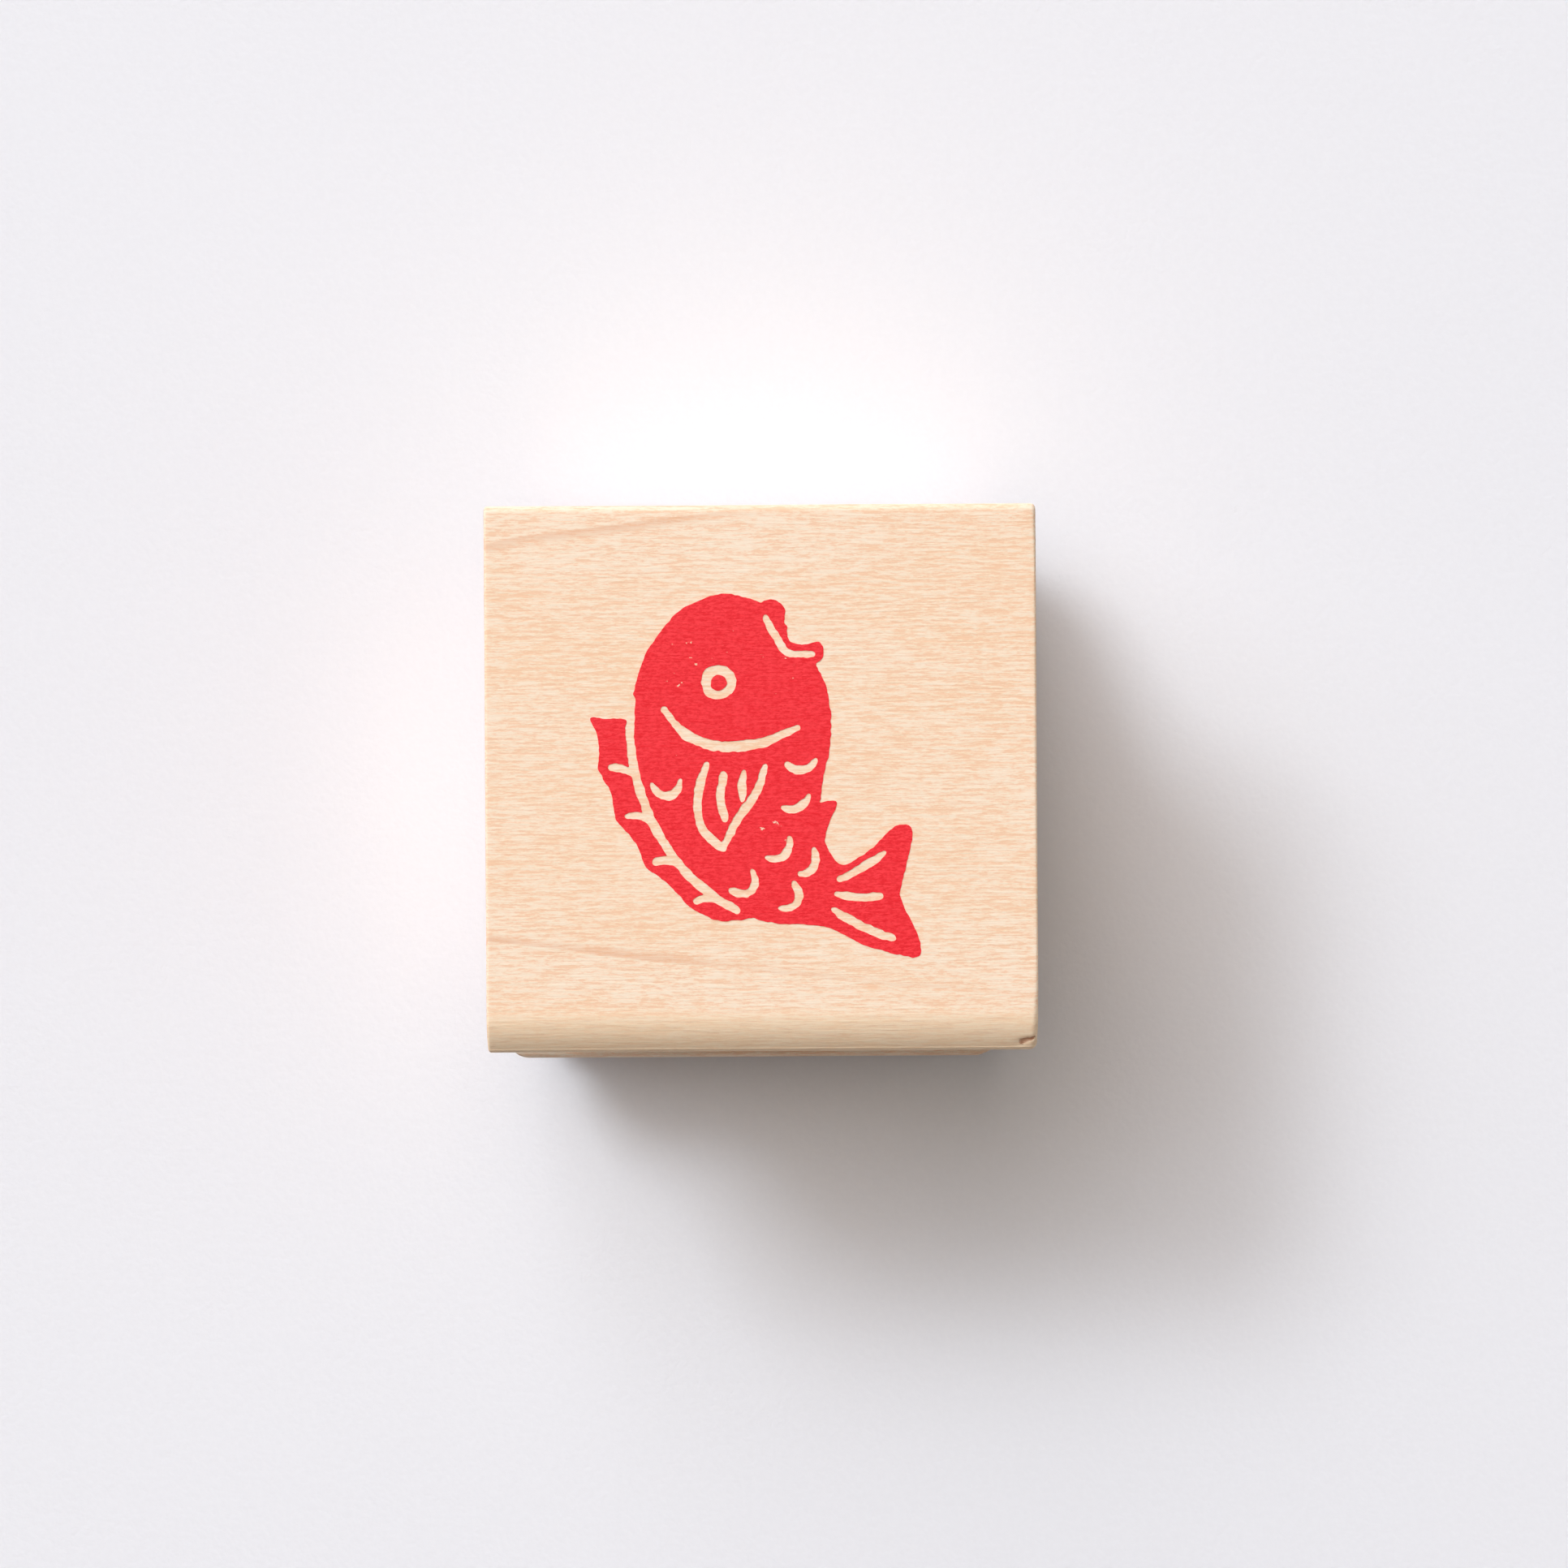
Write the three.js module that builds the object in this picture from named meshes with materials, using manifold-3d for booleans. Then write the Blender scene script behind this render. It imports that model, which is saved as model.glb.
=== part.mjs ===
// A wood-mounted rubber stamp: a moulded maple handle block with finger grooves, a foam cushion bonded
// under it, an engraved rubber die that prints a leaping fish, and the same fish printed on the block's
// top to show what the die stamps.
//
// Millimetres, +Z up. The origin is on the surface the stamp stands on, under the middle of the block.
// +X runs along the moulding, which is also the way the wood's grain runs, and -Y is the front.

import * as THREE from "three";
import { mergeVertices } from "three/addons/utils/BufferGeometryUtils.js";
import Module from "manifold-3d";

const wasm = await Module();
wasm.setup();

// ---------------------------------------------------------------- driving dimensions

const BLOCK = {
  length: 35, // along X, between the two sawn ends
  height: 19,
  crownWidth: 34.8, // across the crown's two noses, along Y
  footFlare: 1.7, // how far the foot stands out beyond the crown on each side
  grooveDepth: 3.2, // of the finger grooves, in from the crown's noses
  noseRound: 1.6, // under the crown, into the groove
  easeRound: 3.6, // the front edge of the top, a wide shallow curve
  easeTurn: 40, // how far that curve turns before its corner, in degrees
  easeCorner: 0.66, // the tighter corner that ends it
  backRound: 0.5, // the back edge of the top
  shoulderRound: 0.8, // from the foot's face into the groove
  footRound: 0.5, // the foot's bottom edges
};
BLOCK.footWidth = BLOCK.crownWidth + 2 * BLOCK.footFlare;
BLOCK.grooveRadius = 0.295 * BLOCK.height;
BLOCK.noseDrop = 0.2 * BLOCK.height; // from the top down to where the noses start to turn under

const CUSHION = { thickness: 3, inset: 0.6, cornerRadius: 1.5 }; // inset from the foot's outline
const ADHESIVE = { thickness: 0.1, inset: 0.2 }; // inset from the cushion's outline
const DIE = { sheet: 1.4, relief: 1, inset: 0.3 }; // inset from the cushion's outline
const INK = { thickness: 0.05 };

// The fish is drawn 21 mm wide for a crown of 35 mm, and scaled with the crown's shorter side.
const FISH = { scale: Math.min(BLOCK.length, BLOCK.crownWidth) / 35, cut: 0.56 }; // cut: knife lines

const ARC_STEPS = 10; // per rounded corner of the moulding
const OUTLINE_STEP = 0.45; // the longest chord along the fish's outline

// ---------------------------------------------------------------- heights, from the surface up

const sheetBottom = DIE.relief;
const dieTop = sheetBottom + DIE.sheet;
const cushionBottom = dieTop + ADHESIVE.thickness;
const cushionTop = cushionBottom + CUSHION.thickness;
const blockBottom = cushionTop + ADHESIVE.thickness;
const blockTop = blockBottom + BLOCK.height;

// ---------------------------------------------------------------- solids

// A closed three.js geometry as a manifold-3d solid, raised by z.
function solidFrom(geometry, z = 0) {
  const bare = geometry.index ? geometry.toNonIndexed() : geometry.clone();
  bare.deleteAttribute("normal");
  bare.deleteAttribute("uv");
  const merged = mergeVertices(bare.translate(0, 0, z), 1e-4);
  return new wasm.Manifold(
    new wasm.Mesh({
      numProp: 3,
      vertProperties: merged.attributes.position.array,
      triVerts: new Uint32Array(merged.index.array),
    }),
  );
}

function geometryFrom(solid) {
  const mesh = solid.getMesh();
  const geometry = new THREE.BufferGeometry();
  geometry.setAttribute("position", new THREE.BufferAttribute(mesh.vertProperties, mesh.numProp));
  geometry.setIndex(new THREE.BufferAttribute(mesh.triVerts, 1));
  geometry.computeVertexNormals();
  return geometry;
}

const plate = (outline, depth) =>
  new THREE.ExtrudeGeometry(outline, { depth, bevelEnabled: false, steps: 1 });

function roundedRectangle(width, height, radius) {
  const [x, y] = [width / 2, height / 2];
  const shape = new THREE.Shape();
  shape.absarc(x - radius, y - radius, radius, 0, Math.PI / 2);
  shape.absarc(-x + radius, y - radius, radius, Math.PI / 2, Math.PI);
  shape.absarc(-x + radius, -y + radius, radius, Math.PI, 1.5 * Math.PI);
  shape.absarc(x - radius, -y + radius, radius, 1.5 * Math.PI, 2 * Math.PI);
  return new THREE.Shape(shape.getPoints(6));
}

// ---------------------------------------------------------------- the handle block

// Points of an arc from one angle to another, both in radians, ends included.
function arc(centreY, centreZ, radius, from, to, steps = ARC_STEPS) {
  return Array.from({ length: steps + 1 }, (_, i) => {
    const angle = from + ((to - from) * i) / steps;
    return [centreY + radius * Math.cos(angle), centreZ + radius * Math.sin(angle)];
  });
}

// The front edge of the top: a wide shallow curve that ends in a tighter corner, from below.
function easedEdge() {
  const cornerY = BLOCK.crownWidth / 2 - BLOCK.easeCorner;
  const easeZ = BLOCK.height - BLOCK.easeRound;
  const reach = BLOCK.easeRound - BLOCK.easeCorner;
  const turn = THREE.MathUtils.degToRad(90 - BLOCK.easeTurn);
  return [
    ...arc(cornerY, easeZ + reach * Math.sin(turn), BLOCK.easeCorner, 0, turn, 5),
    ...arc(cornerY - reach * Math.cos(turn), easeZ, BLOCK.easeRound, turn, Math.PI / 2).slice(1),
  ];
}

// The back edge of the top, barely rounded.
function backEdge() {
  const round = BLOCK.backRound;
  return arc(BLOCK.crownWidth / 2 - round, BLOCK.height - round, round, 0, Math.PI / 2, 6);
}

// One half of the moulding's section as if it lay on the right, from the underside up to the crown,
// with the given top edge. The groove is a circle that the shoulder's and the nose's circles touch
// from outside, so every join below the crown is smooth.
function halfSection(topEdge) {
  const foot = BLOCK.footWidth / 2;
  const crown = BLOCK.crownWidth / 2;
  const grooveY = crown - BLOCK.grooveDepth + BLOCK.grooveRadius;

  const noseY = crown - BLOCK.noseRound;
  const noseZ = BLOCK.height - BLOCK.noseDrop;
  const noseReach = BLOCK.grooveRadius + BLOCK.noseRound;
  const noseRise = Math.sqrt(noseReach ** 2 - (grooveY - noseY) ** 2);
  const noseTurn = Math.atan2(-noseRise, grooveY - noseY);

  const grooveZ = noseZ - noseRise;
  const shoulderY = foot - BLOCK.shoulderRound;
  const shoulderReach = BLOCK.grooveRadius + BLOCK.shoulderRound;
  const shoulderDrop = Math.sqrt(shoulderReach ** 2 - (grooveY - shoulderY) ** 2);
  const shoulderTurn = Math.atan2(shoulderDrop, grooveY - shoulderY);
  const grooveTurns = [Math.PI + shoulderTurn, Math.PI + noseTurn];

  return [
    ...arc(foot - BLOCK.footRound, BLOCK.footRound, BLOCK.footRound, -Math.PI / 2, 0, 5),
    ...arc(shoulderY, grooveZ - shoulderDrop, BLOCK.shoulderRound, 0, shoulderTurn, 6),
    ...arc(grooveY, grooveZ, BLOCK.grooveRadius, ...grooveTurns, 2 * ARC_STEPS).slice(1),
    ...arc(noseY, noseZ, BLOCK.noseRound, noseTurn, 0, 6).slice(1),
    ...topEdge,
  ];
}

function handleBlock() {
  const back = halfSection(backEdge());
  const front = halfSection(easedEdge()).map(([y, z]) => [-y, z]);
  const outline = [...back, ...front.reverse()];
  const section = new THREE.Shape(outline.map(([y, z]) => new THREE.Vector2(y, z)));
  const geometry = plate(section, BLOCK.length);
  // the section is drawn in X and Y and extruded along Z: turn those into Y, Z and X
  geometry.applyMatrix4(new THREE.Matrix4().set(0, 0, 1, 0, 1, 0, 0, 0, 0, 1, 0, 0, 0, 0, 0, 1));
  return geometry.translate(-BLOCK.length / 2, 0, 0);
}

// ---------------------------------------------------------------- the fish

// The fish is drawn straight and then bent. In the straight drawing u runs from the lips to the tail
// and v across, towards the back. The spine says where each u lies on the finished print.
const SPINE = new THREE.CubicBezierCurve(
  new THREE.Vector2(0.4, 10.9),
  new THREE.Vector2(-3.8, 4.8),
  new THREE.Vector2(-3.2, -9.8),
  new THREE.Vector2(9.4, -7.3),
);
const SPINE_LENGTH = SPINE.getLength();

const BODY = { chord: 24, halfDepth: 6.4, lean: 0.62, fullness: 0.76, tailFrom: 20.6 };
const DORSAL = { from: 7.9, to: 18.4, front: 2.6, rear: 1.3, spines: 5, dip: 0.18 };
const EYE = { u: 5.4, v: 1.1, ring: 0.85, pupil: 0.55 };
const SCALE = { radius: 0.95, opening: 2.6 }; // opening is the cup's sweep in radians
const SCALE_ROWS = [
  { u: 10.7, across: [4.3, -4.4] },
  { u: 14.1, across: [-3.4] },
  { u: 16.6, across: [2.3, -0.8] },
  { u: 18.9, across: [1.2, -1.3] },
];

function bend([u, v]) {
  const share = Math.min(1, Math.max(0, u / SPINE_LENGTH));
  const along = SPINE.getTangentAt(share);
  const beyond = u - share * SPINE_LENGTH;
  return SPINE.getPointAt(share)
    .addScaledVector(along, beyond)
    .add(new THREE.Vector2(along.y, -along.x).multiplyScalar(v))
    .multiplyScalar(FISH.scale);
}

// A smooth curve through points of the straight drawing, bent, as chords no longer than OUTLINE_STEP.
function smooth(points) {
  const curve = new THREE.SplineCurve(points.map((p) => new THREE.Vector2(...p)));
  const steps = Math.max(1, Math.ceil(curve.getLength() / OUTLINE_STEP));
  return curve.getSpacedPoints(steps).map((p) => bend([p.x, p.y]));
}

// A closed shape from smooth stretches that meet in corners.
const ringOf = (...stretches) =>
  new THREE.Shape(stretches.flatMap((points) => smooth(points).slice(0, -1)));

function disc(u, v, radius) {
  const centre = bend([u, v]);
  const rim = arc(centre.x, centre.y, radius * FISH.scale, 0, 2 * Math.PI, 28).slice(1);
  return new THREE.Shape(rim.map((p) => new THREE.Vector2(...p)));
}

// Half the body's depth at u: one hump of a sine, leaning towards the head.
function halfDepth(u) {
  const share = Math.min(1, Math.max(0, u / BODY.chord));
  return BODY.halfDepth * Math.sin(Math.PI * share ** BODY.lean) ** BODY.fullness;
}

function bodyShape() {
  const stations = Array.from({ length: 41 }, (_, i) => BODY.tailFrom * (i / 40) ** 2);
  const back = stations.map((u) => bend([u, halfDepth(u)]));
  const belly = stations.slice(1).map((u) => bend([u, -halfDepth(u)]));
  return new THREE.Shape([...back, ...belly.reverse()]);
}

const tailFin = () =>
  ringOf(
    [[19.6, 2.9], [20.6, 2.4], [21.9, 2.2], [23.8, 3.1], [25.5, 3.9], [26.4, 4.1], [26.6, 3.2]],
    [[26.6, 3.2], [26.3, 1.7], [25.9, 0.1]],
    [[25.9, 0.1], [26.7, -1.7], [27.4, -3.2]],
    [[27.4, -3.2], [27.5, -4.1], [26.5, -4.3], [24.1, -3], [21.9, -1.9], [20.6, -2.4], [19.6, -2.9]],
    [[19.6, -2.9], [19.2, 0], [19.6, 2.9]],
  );

const ventralFin = () =>
  ringOf(
    [[15.6, -4.2], [16.2, -5.1], [17.4, -5.5], [18.6, -5.1], [19.8, -2.6]],
    [[19.8, -2.6], [15.6, -4.2]],
  );

// The dorsal fin stands on the back between two stations. Its edge dips between each two spines.
function dorsalPoint(share, lift) {
  const u = THREE.MathUtils.lerp(DORSAL.from, DORSAL.to, share);
  return [u, halfDepth(u) + lift * THREE.MathUtils.lerp(DORSAL.front, DORSAL.rear, share)];
}

function dorsalFin() {
  const webs = Array.from({ length: DORSAL.spines }, (_, i) => {
    const [from, middle, to] = [i, i + 0.5, i + 1].map((n) => n / DORSAL.spines);
    return [dorsalPoint(from, 1), dorsalPoint(middle, 1 - DORSAL.dip), dorsalPoint(to, to < 1 ? 1 : 0)];
  });
  const root = [0.9, 0.6, 0.3, 0].map((share) => dorsalPoint(share, -0.3));
  return ringOf(...webs, [dorsalPoint(1, 0), root[0]], root, [root[3], dorsalPoint(0, 1)]);
}

// A knife line along a curve: round ended, and narrower towards both ends by the share in taper.
function knifeLine(points, width = FISH.cut, taper = 0.75) {
  const spine = smooth(points);
  const last = spine.length - 1;
  const turns = spine.map((_, i) => {
    const [a, b] = [spine[Math.max(0, i - 1)], spine[Math.min(last, i + 1)]];
    return Math.atan2(b.y - a.y, b.x - a.x);
  });
  const half = spine.map((_, i) => {
    const full = Math.min(1, Math.sin((Math.PI * i) / last) * 1.6);
    return (width / 2) * (taper + (1 - taper) * full);
  });
  const rim = (i, angle) => {
    const outward = new THREE.Vector2(Math.cos(turns[i] + angle), Math.sin(turns[i] + angle));
    return outward.multiplyScalar(half[i]).add(spine[i]);
  };
  const cap = (i, from) => [1, 2, 3, 4, 5].map((k) => rim(i, from - (Math.PI * k) / 6));
  const left = spine.map((_, i) => rim(i, Math.PI / 2));
  const right = spine.map((_, i) => rim(i, -Math.PI / 2)).reverse();
  return new THREE.Shape([...left, ...cap(last, Math.PI / 2), ...right, ...cap(0, -Math.PI / 2)]);
}

function dorsalLines() {
  const root = [-0.09, 0.05, 0.25, 0.5, 0.75, 0.93].map((share) => dorsalPoint(share, 0));
  const rays = [0.26, 0.46, 0.66, 0.86].map((share) => [
    dorsalPoint(share - 0.02, 0),
    dorsalPoint(share - 0.05, 0.3),
    dorsalPoint(share - 0.06, 0.62),
  ]);
  return [knifeLine(root, FISH.cut, 1), ...rays.map((ray) => knifeLine(ray, FISH.cut * 0.85, 0.9))];
}

// The pectoral fin is a leaf, open at the gill, with two rays inside it.
const pectoralLines = () =>
  [
    [[10.3, 1.6], [12, 2.5], [13.7, 2.8], [15, 2.1]],
    [[15, 2.1], [13.9, 0.5], [12.6, -1.2], [10.9, -2.1]],
    [[13.6, 1.2], [12.4, 1.1], [11, 0.6]],
    [[12.8, -0.2], [12, -0.4], [11, -0.7]],
  ].map((line) => knifeLine(line));

// A scale is a cup that opens towards the head.
function scaleCup(u, v) {
  const turns = [-0.5, -0.25, 0, 0.25, 0.5].map((share) => share * SCALE.opening);
  return turns.map((turn) => [u + SCALE.radius * Math.cos(turn), v + SCALE.radius * Math.sin(turn)]);
}

const scaleLines = () =>
  SCALE_ROWS.flatMap(({ u, across }) =>
    across.map((v) => knifeLine(scaleCup(u, v), FISH.cut * 0.95, 0.7)),
  );

const tailLines = () =>
  [-1, 0, 1].map((k) => knifeLine([[21.9, k], [23.4, k * 1.8], [24.7 + Math.abs(k) / 2, k * 2.7]]));

const lips = () => [disc(0.25, -0.5, 0.95), disc(1.2, -3.9, 0.85)];

const mouthNotch = () =>
  ringOf(
    [[-1.6, -1.6], [0.3, -1.75], [1.2, -2.4]],
    [[1.2, -2.4], [0.9, -3.2], [-0.6, -4.4]],
    [[-0.6, -4.4], [-1.6, -1.6]],
  );

const knifeShapes = () => [
  mouthNotch(),
  knifeLine([[0.6, -0.3], [1.2, -1.2], [2.1, -2.4], [1.9, -3.2], [1.3, -4.1]], FISH.cut * 0.9),
  knifeLine([[7.3, 4.3], [8.7, 2.6], [9.3, 0.2], [9.0, -2.2], [7.9, -4.3]], FISH.cut * 1.15, 0.6),
  disc(EYE.u, EYE.v, EYE.ring + FISH.cut / 2),
  ...dorsalLines(),
  ...pectoralLines(),
  ...scaleLines(),
  ...tailLines(),
];

// The fish without its pupil, as a solid of this depth standing on z = 0. Knives cut right through it.
function fishSolid(depth) {
  const over = 0.5;
  const shapes = [bodyShape(), dorsalFin(), tailFin(), ventralFin(), ...lips()];
  const whole = shapes.map((shape) => solidFrom(plate(shape, depth))).reduce((a, b) => a.add(b));
  const cuts = knifeShapes().map((line) => solidFrom(plate(line, depth + 2 * over), -over));
  return cuts.reduce((fish, cut) => fish.subtract(cut), whole);
}

const pupilPlate = (depth) => plate(disc(EYE.u, EYE.v, EYE.pupil), depth);

// ---------------------------------------------------------------- cushion, adhesive and die

// A sheet cut to the foot's outline, less an inset on each side.
function sheetOutline(inset) {
  return roundedRectangle(
    BLOCK.length - 2 * inset,
    BLOCK.footWidth - 2 * inset,
    Math.max(0.3, CUSHION.cornerRadius + CUSHION.inset - inset),
  );
}

// The sheet and everything that stands down from it is one piece of rubber. The relief runs into the
// sheet a little before they are joined.
function rubberDie() {
  const bite = DIE.sheet / 4;
  return solidFrom(plate(sheetOutline(CUSHION.inset + DIE.inset), DIE.sheet), sheetBottom)
    .add(fishSolid(DIE.relief + bite))
    .add(solidFrom(pupilPlate(DIE.relief + bite)));
}

// ---------------------------------------------------------------- materials and assembly

const material = (color, roughness) =>
  new THREE.MeshStandardMaterial({ color, roughness, metalness: 0 });

const maple = material(0xf3d3b0, 0.6);
const ink = material(0xe32b3c, 0.55);
const foam = material(0xe9e6df, 0.9);
const adhesive = material(0xe4d9b8, 0.35);
const rubber = material(0xb9534c, 0.65);

const stamp = new THREE.Group();

function addPiece(name, geometry, surface, z = 0) {
  const piece = new THREE.Mesh(geometry, surface);
  piece.name = name;
  piece.position.z = z;
  stamp.add(piece);
}

const cushionSheet = plate(sheetOutline(CUSHION.inset), CUSHION.thickness);
const adhesiveFilm = plate(sheetOutline(CUSHION.inset + ADHESIVE.inset), ADHESIVE.thickness);

addPiece("rubber_die", geometryFrom(rubberDie()), rubber);
addPiece("die_adhesive_film", adhesiveFilm, adhesive, dieTop);
addPiece("cushion_foam", cushionSheet, foam, cushionBottom);
addPiece("mount_adhesive_film", adhesiveFilm.clone(), adhesive, cushionTop);
addPiece("handle_block", handleBlock(), maple, blockBottom);
addPiece("index_print_fish", geometryFrom(fishSolid(INK.thickness)), ink, blockTop);
addPiece("index_print_pupil", pupilPlate(INK.thickness), ink, blockTop);

export default stamp;
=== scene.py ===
"""A wood-mounted rubber stamp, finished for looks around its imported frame.

The frame gives every size and place. The handle block, the index print, the foam cushion and the
rubber die are surfaces worked out here that replace their plain solids. The two adhesive films keep
their solids and get a material. Everything is in metres, +Z up, with the front towards -Y and the
wood's grain along X.
"""

import math

import bpy
import numpy as np
from bpy.props import FloatProperty, FloatVectorProperty, IntProperty, PointerProperty
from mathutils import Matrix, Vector
from mathutils.geometry import tessellate_polygon


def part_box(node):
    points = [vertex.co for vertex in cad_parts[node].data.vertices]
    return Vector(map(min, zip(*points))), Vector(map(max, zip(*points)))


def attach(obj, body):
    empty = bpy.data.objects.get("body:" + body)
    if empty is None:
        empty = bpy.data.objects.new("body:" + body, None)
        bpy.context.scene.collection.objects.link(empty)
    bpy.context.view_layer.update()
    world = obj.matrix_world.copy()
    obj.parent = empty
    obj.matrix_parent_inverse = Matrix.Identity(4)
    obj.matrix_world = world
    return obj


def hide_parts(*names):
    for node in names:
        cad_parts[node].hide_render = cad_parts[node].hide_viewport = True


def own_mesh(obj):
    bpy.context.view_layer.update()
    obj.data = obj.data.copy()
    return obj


bl_info = {
    "name": "Wood-Mounted Rubber Stamp",
    "version": (1, 0, 0),
    "blender": (4, 5, 0),
    "location": "3D View > Sidebar > Stamp",
    "description": "Builds a rubber stamp on a maple handle block, with its index print",
    "category": "Add Mesh",
}

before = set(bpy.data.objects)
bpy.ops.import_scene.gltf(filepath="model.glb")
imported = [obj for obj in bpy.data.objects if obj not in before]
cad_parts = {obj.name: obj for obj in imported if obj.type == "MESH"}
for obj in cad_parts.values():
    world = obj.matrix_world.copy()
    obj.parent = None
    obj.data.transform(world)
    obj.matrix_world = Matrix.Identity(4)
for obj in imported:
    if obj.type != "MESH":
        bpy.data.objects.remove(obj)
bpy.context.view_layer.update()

MM = 0.001


# ---------- places, from the frame


def node_box(name):
    """The lowest and the highest corner of a frame node, as two arrays."""
    low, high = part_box(name)
    return np.array(low), np.array(high)


BLOCK_LOW, BLOCK_HIGH = node_box("handle_block")
CUSHION_LOW, CUSHION_HIGH = node_box("cushion_foam")
DIE_LOW, DIE_HIGH = node_box("rubber_die")
PRINT_LOW, PRINT_HIGH = node_box("index_print_fish")


# ---------- sizes and colours


def length(name, description, millimetres):
    """A length property, given in millimetres and kept in metres."""
    place = dict(subtype="DISTANCE", unit="LENGTH", precision=5)
    return FloatProperty(name=name, description=description, default=millimetres * MM, **place)


def colour(name, description, red, green, blue):
    """A colour property, given as the three numbers of a colour picker and kept linear."""
    linear = [c / 12.92 if c <= 0.04045 else ((c + 0.055) / 1.055) ** 2.4 for c in (red, green, blue)]
    return FloatVectorProperty(
        name=name, description=description, default=linear, subtype="COLOR", size=3, min=0, max=1
    )


class StampSizes(bpy.types.PropertyGroup):
    """Sizes of the stamp that its frame doesn't give."""

    crown_width: length("Crown width", "Across the crown's two noses", 34.8)
    nose_drop: length("Nose drop", "From the top down to where the noses turn under", 3.8)
    nose_round: length("Nose rounding", "Radius under the crown", 1.6)
    ease_round: length("Ease rounding", "Radius of the shallow curve at the top's front edge", 3.6)
    ease_turn: FloatProperty(
        name="Ease turn",
        description="How far the shallow curve turns before its corner",
        default=math.radians(40),
        subtype="ANGLE",
        unit="ROTATION",
    )
    ease_corner: length("Ease corner", "Radius of the corner that ends the curve", 0.66)
    back_round: length("Back rounding", "Radius of the top's back edge", 0.5)
    groove_depth: length("Groove depth", "Of each finger groove, in from the noses", 3.2)
    groove_radius: length("Groove radius", "Of the finger grooves", 5.605)
    shoulder_round: length("Shoulder rounding", "Radius from the foot's face into the groove", 0.8)
    foot_round: length("Foot rounding", "Radius of the foot's bottom edges", 0.5)
    end_wear: length("End wear", "Rounding of the edges of the sawn ends", 0.2)
    corner_wear: length("Corner wear", "More rounding at the crown's front right corner", 0.3)
    foot_wear: length("Foot wear", "Rounding of the foot's upright corners", 1.4)
    foot_cut: length("Foot cut", "Where the front right corner's cut starts, along X", 14.9)
    chip_start: length("Chip start", "Where the crown's torn chip starts, along X", 16.2)
    chip_length: length("Chip length", "Of the chip, along the grain", 1.2)
    chip_width: length("Chip width", "Half the chip's width at its blunt end", 0.29)
    chip_inset: length("Chip inset", "From the crown's front to the chip's middle", 0.54)
    chip_depth: length("Chip depth", "Of the chip", 0.1)
    ink_rag: length("Ink rag", "How far the ink's edge wanders", 0.03)
    outline_step: length("Outline step", "Spacing of points along the fish's outline", 0.07)
    relief_slope: length("Relief slope", "How far the relief spreads down to its sheet", 0.16)
    pore_depth: length("Pore depth", "Of the cells cut open on the cushion's sides", 0.11)
    pores: IntProperty(name="Pores", description="Open cells on the cushion's sides", default=1500)


class StampColours(bpy.types.PropertyGroup):
    """Colours of the stamp's materials."""

    maple_pale: colour("Pale maple", "Early wood", 0.995, 0.886, 0.768)
    maple_warm: colour("Warm maple", "Clouds in the wood", 0.99, 0.853, 0.712)
    maple_fleck: colour("Maple fleck", "Light flecks along the grain", 1.0, 0.93, 0.835)
    maple_thread: colour("Maple thread", "Dark threads along the grain", 0.97, 0.775, 0.61)
    maple_eased: colour("Eased maple", "Wood sanded through at the eased edge", 1.0, 0.885, 0.73)
    maple_line: colour("Maple line", "Growth lines and open pores", 0.92, 0.70, 0.54)
    chip_maple_and_shade: colour("Torn maple", "The torn grain of a chip", 0.72, 0.49, 0.36)
    # Torn grain in the chip, darkened further with painted shade of the chip's hollow.
    ink: colour("Ink", "The index print", 1.0, 0.215, 0.25)
    ink_deep: colour("Deep ink", "Where the ink lies thicker along the grain", 0.92, 0.08, 0.13)
    foam: colour("Foam", "The cushion", 0.90, 0.89, 0.86)
    adhesive: colour("Adhesive", "The two films", 0.86, 0.80, 0.64)
    rubber: colour("Rubber", "The die", 0.70, 0.33, 0.29)
    rubber_inked: colour("Inked rubber", "Ink left on the printing face", 0.62, 0.08, 0.12)
    paper: colour("Paper", "What the stamp stands on", 0.944, 0.941, 0.945)


# ---------- mesh helpers


def mesh_object(name, points, faces, smooth=True):
    """A mesh object at the origin from points and faces, both given as arrays or lists."""
    mesh = bpy.data.meshes.new(name)
    mesh.from_pydata(np.asarray(points).tolist(), [], faces)
    mesh.validate()
    mesh.polygons.foreach_set("use_smooth", np.full(len(mesh.polygons), smooth))
    mesh.update()
    piece = bpy.data.objects.new(name, mesh)
    bpy.context.scene.collection.objects.link(piece)
    return piece


def point_attribute(piece, name, values):
    """Keeps one number per vertex, for a material to read."""
    attribute = piece.data.attributes.new(name, "FLOAT", "POINT")
    attribute.data.foreach_set("value", np.asarray(values, dtype=np.float32).ravel())


def walls(lower, upper):
    """Quads between closed runs of point numbers, each with the material on its left, and the runs
    above them: one pair of runs, or as many as the rows of the two arrays."""
    corners = [lower, np.roll(lower, -1, axis=-1), np.roll(upper, -1, axis=-1), upper]
    return np.stack(corners, axis=-1).reshape(-1, 4)


def smoothstep(value, low, high):
    """0 below low, 1 above high, and an S curve 3t^2 - 2t^3 between them."""
    t = np.clip((value - low) / (high - low), 0, 1)
    return t * t * (3 - 2 * t)


def waves(points, wavelength, seed, count=7):
    """Smooth noise from -1 to 1: the mean of plane waves with seeded directions and phases."""
    random = np.random.default_rng(seed)
    directions = random.normal(size=(count, points.shape[-1]))
    directions /= np.linalg.norm(directions, axis=1, keepdims=True)
    scales = random.uniform(0.6, 1.6, count) * 2 * math.pi / wavelength
    phases = random.uniform(0, 2 * math.pi, count)
    return np.sin(points @ (directions.T * scales) + phases).mean(axis=-1)


# ---------- the handle block


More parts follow.
